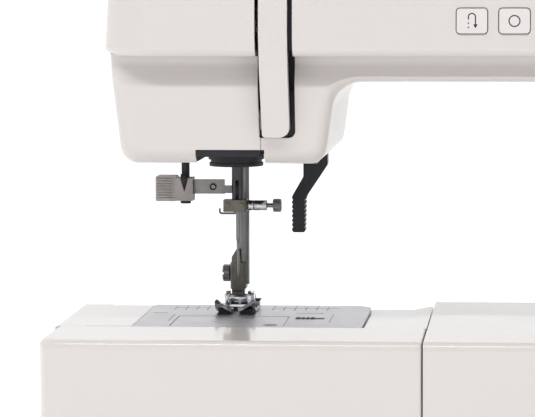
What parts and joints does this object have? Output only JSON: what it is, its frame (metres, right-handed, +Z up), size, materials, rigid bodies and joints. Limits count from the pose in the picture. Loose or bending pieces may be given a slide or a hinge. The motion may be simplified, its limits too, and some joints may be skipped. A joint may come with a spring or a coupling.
{
  "type": "free-arm household sewing machine",
  "caption": "White free-arm sewing machine with head, arm, column and base, a clip-on presser foot, needle threader, foot lifter and a slide-off extension table with storage.",
  "frame": {"origin": "centre of the footprint's bounding box, on the table top", "axes": "+X from the needle end to the handwheel, -Y towards the operator, +Z up"},
  "size_m": [0.392, 0.17, 0.295],
  "materials": {
    "white_casing": "moulded, satin gloss",
    "white_table": "moulded, satin gloss",
    "black_plastic": "fine texture",
    "grey_plastic": "fine texture",
    "dark_grey_plastic": "fine texture",
    "key_plastic": "satin",
    "satin_steel": "satin",
    "needle_steel": "polished",
    "bar_steel": "ground and hardened",
    "holder_steel": "sintered, oiled",
    "chrome_plate": "bright",
    "cast_aluminium": "die cast",
    "motor_steel": "satin",
    "rubber": "matt",
    "belt_rubber": "matt",
    "clear_plastic": "clear, moulded",
    "display_lens": "smooth lens",
    "lamp_lens": "frosted",
    "circuit_board": "lacquered"
  },
  "bodies": {
    "root": {"base_housing": "white_casing", "bottom_plate": "dark_grey_plastic", "rubber_feet": "rubber", "free_arm_shell": "white_table", "front_cover": "white_casing", "rear_cover": "white_casing", "face_cover": "white_casing", "thread_strip": "white_casing", "top_deck": "grey_plastic", "needle_plate": "satin_steel", "needle_area_plate": "black_plastic", "upper_frame": "cast_aluminium", "bed_frame": "cast_aluminium", "drive_belts": "belt_rubber", "motor": "motor_steel", "control_board": "circuit_board", "display_window": "display_lens", "bobbin_holder": "black_plastic", "power_socket": "black_plastic", "casing_screws": "satin_steel", "head_lamp": "lamp_lens", "spool_pin": "grey_plastic", "pivot_pins": "satin_steel"},
    "top_lid": {"top_lid": "white_casing"},
    "carry_handle": {"carry_handle": "white_casing"},
    "main_shaft": {"arm_shaft": "bar_steel", "needle_crank": "holder_steel", "handwheel": "white_casing"},
    "lower_shaft": {"lower_shaft": "bar_steel"},
    "rotating_hook": {"rotating_hook": "needle_steel"},
    "motor_shaft": {"motor_pulley": "satin_steel"},
    "bobbin": {"bobbin": "clear_plastic"},
    "feed_dog": {"feed_dog": "needle_steel"},
    "needle_bar_frame": {"needle_bar_frame": "cast_aluminium"},
    "needle_bar": {"needle_bar": "bar_steel", "needle_clamp": "holder_steel", "needle": "needle_steel"},
    "needle_clamp_screw": {"needle_clamp_screw": "chrome_plate"},
    "presser_bar": {"presser_bar": "bar_steel", "foot_holder": "holder_steel"},
    "foot_screw": {"foot_screw": "chrome_plate"},
    "presser_foot": {"presser_foot": "chrome_plate"},
    "foot_lifter": {"foot_lifter": "black_plastic"},
    "threader": {"threader_rod": "black_plastic", "threader_lever": "grey_plastic"},
    "threader_arm": {"threader_arm": "satin_steel"},
    "take_up_lever": {"take_up_lever": "chrome_plate"},
    "tension_dial": {"tension_dial": "key_plastic"},
    "reverse_button": {"reverse_button": "key_plastic"},
    "lock_button": {"lock_button": "key_plastic"},
    "needle_button": {"needle_button": "key_plastic"},
    "start_stop_button": {"start_stop_button": "key_plastic"},
    "speed_slider": {"speed_slider": "key_plastic"},
    "pattern_dial": {"pattern_dial": "key_plastic"},
    "winder_spindle": {"winder_spindle": "key_plastic"},
    "power_switch": {"power_switch": "black_plastic"},
    "hook_cover": {"hook_cover": "satin_steel"},
    "cover_release": {"cover_release": "dark_grey_plastic"},
    "extension_table": {"table_body": "white_table"},
    "accessory_lid": {"accessory_lid": "white_table"}
  },
  "joints": [
    {"name": "top_lid_hinge", "type": "hinge", "parent": "root", "child": "top_lid", "pos_m": [0, 0.0743, 0.2695], "axis": [-1, 0, 0], "range_deg": [0, 85]},
    {"name": "carry_handle_hinge", "type": "hinge", "parent": "root", "child": "carry_handle", "pos_m": [0.02, 0.0793, 0.258], "axis": [-1, 0, 0], "range_deg": [-168, 0]},
    {"name": "main_shaft_spin", "type": "hinge", "parent": "root", "child": "main_shaft", "pos_m": [0, 0.016, 0.222], "axis": [1, 0, 0], "continuous": true},
    {"name": "lower_shaft_spin", "type": "hinge", "parent": "root", "child": "lower_shaft", "pos_m": [0, 0.016, 0.04], "axis": [1, 0, 0], "continuous": true},
    {"name": "hook_spin", "type": "hinge", "parent": "root", "child": "rotating_hook", "pos_m": [-0.121, -0.005, 0.06], "axis": [0, 0, 1], "continuous": true},
    {"name": "motor_spin", "type": "hinge", "parent": "root", "child": "motor_shaft", "pos_m": [0.15, -0.008, 0.11], "axis": [1, 0, 0], "continuous": true},
    {"name": "bobbin_spin", "type": "hinge", "parent": "root", "child": "bobbin", "pos_m": [-0.121, -0.005, 0.06], "axis": [0, 0, 1], "continuous": true},
    {"name": "feed_dog_slide", "type": "slide", "parent": "root", "child": "feed_dog", "axis": [0, 1, 0], "range_m": [-0.0025, 0.0025]},
    {"name": "needle_swing", "type": "slide", "parent": "root", "child": "needle_bar_frame", "axis": [1, 0, 0], "range_m": [-0.0035, 0.0035]},
    {"name": "needle_bar_slide", "type": "slide", "parent": "needle_bar_frame", "child": "needle_bar", "axis": [0, 0, 1], "range_m": [-0.032, 0]},
    {"name": "needle_clamp_screw_turn", "type": "hinge", "parent": "needle_bar", "child": "needle_clamp_screw", "pos_m": [-0.111, 0.016, 0.1245], "axis": [1, 0, 0], "range_deg": [0, 360]},
    {"name": "presser_bar_lift", "type": "slide", "parent": "root", "child": "presser_bar", "axis": [0, 0, 1], "range_m": [0, 0.0075]},
    {"name": "foot_screw_turn", "type": "hinge", "parent": "presser_bar", "child": "foot_screw", "pos_m": [-0.128, 0.031, 0.092], "axis": [1, 0, 0], "range_deg": [0, 360]},
    {"name": "presser_foot_tilt", "type": "hinge", "parent": "presser_bar", "child": "presser_foot", "pos_m": [-0.121, 0.0256, 0.0822], "axis": [-1, 0, 0], "range_deg": [0, 6]},
    {"name": "foot_lifter_hinge", "type": "hinge", "parent": "root", "child": "foot_lifter", "pos_m": [-0.088, 0.047, 0.16], "axis": [1, 0, 0], "range_deg": [0, 75.2]},
    {"name": "threader_slide", "type": "slide", "parent": "root", "child": "threader", "axis": [0, 0, 1], "range_m": [-0.026, 0], "stiffness_N_per_m": 15, "springref_m": 0.05},
    {"name": "threader_arm_swing", "type": "hinge", "parent": "threader", "child": "threader_arm", "pos_m": [-0.1456, 0.0225, 0.1325], "axis": [0, 0, 1], "range_deg": [0, 90]},
    {"name": "take_up_lever_hinge", "type": "hinge", "parent": "root", "child": "take_up_lever", "pos_m": [-0.1054, -0.008, 0.205], "axis": [1, 0, 0], "range_deg": [0, 60]},
    {"name": "tension_dial_turn", "type": "hinge", "parent": "root", "child": "tension_dial", "pos_m": [-0.076, -0.03641, 0.242], "axis": [1, 0, 0], "range_deg": [0, 300]},
    {"name": "reverse_button_press", "type": "slide", "parent": "root", "child": "reverse_button", "axis": [0, 1, 0], "range_m": [0, 0.0012], "stiffness_N_per_m": 600, "springref_m": -0.0006},
    {"name": "lock_button_press", "type": "slide", "parent": "root", "child": "lock_button", "axis": [0, 1, 0], "range_m": [0, 0.0012], "stiffness_N_per_m": 600, "springref_m": -0.0006},
    {"name": "needle_button_press", "type": "slide", "parent": "root", "child": "needle_button", "axis": [0, 1, 0], "range_m": [0, 0.0012], "stiffness_N_per_m": 600, "springref_m": -0.0006},
    {"name": "start_stop_button_press", "type": "slide", "parent": "root", "child": "start_stop_button", "axis": [0, 1, 0], "range_m": [0, 0.0012], "stiffness_N_per_m": 600, "springref_m": -0.0006},
    {"name": "speed_slider_slide", "type": "slide", "parent": "root", "child": "speed_slider", "axis": [1, 0, 0], "range_m": [-0.012, 0.012]},
    {"name": "pattern_dial_turn", "type": "hinge", "parent": "root", "child": "pattern_dial", "pos_m": [0.146, -0.06, 0.232], "axis": [0, 1, 0], "continuous": true},
    {"name": "winder_spindle_spin", "type": "hinge", "parent": "root", "child": "winder_spindle", "pos_m": [0.14, -0.02, 0.265], "axis": [0, 0, 1], "continuous": true},
    {"name": "power_switch_rock", "type": "hinge", "parent": "root", "child": "power_switch", "pos_m": [0.171, 0.03, 0.04], "axis": [0, 0, 1], "range_deg": [0, 16]},
    {"name": "hook_cover_lift", "type": "slide", "parent": "root", "child": "hook_cover", "axis": [0, 0, 1], "range_m": [0, 0.02]},
    {"name": "cover_release_slide", "type": "slide", "parent": "root", "child": "cover_release", "axis": [1, 0, 0], "range_m": [0, 0.003], "stiffness_N_per_m": 150, "springref_m": -0.002},
    {"name": "extension_table_slide", "type": "slide", "parent": "root", "child": "extension_table", "axis": [-1, 0, 0], "range_m": [0, 0.17]},
    {"name": "accessory_lid_hinge", "type": "hinge", "parent": "extension_table", "child": "accessory_lid", "pos_m": [-0.115, -0.078, 0.009], "axis": [1, 0, 0], "range_deg": [0, 70]}
  ],
  "couplings": [
    {"joint": "lower_shaft_spin", "follows": "main_shaft_spin", "ratio": 1},
    {"joint": "hook_spin", "follows": "main_shaft_spin", "ratio": 2},
    {"joint": "motor_spin", "follows": "main_shaft_spin", "ratio": 3},
    {"joint": "foot_lifter_hinge", "follows": "presser_bar_lift", "rad_per_m": 174.5}
  ]
}
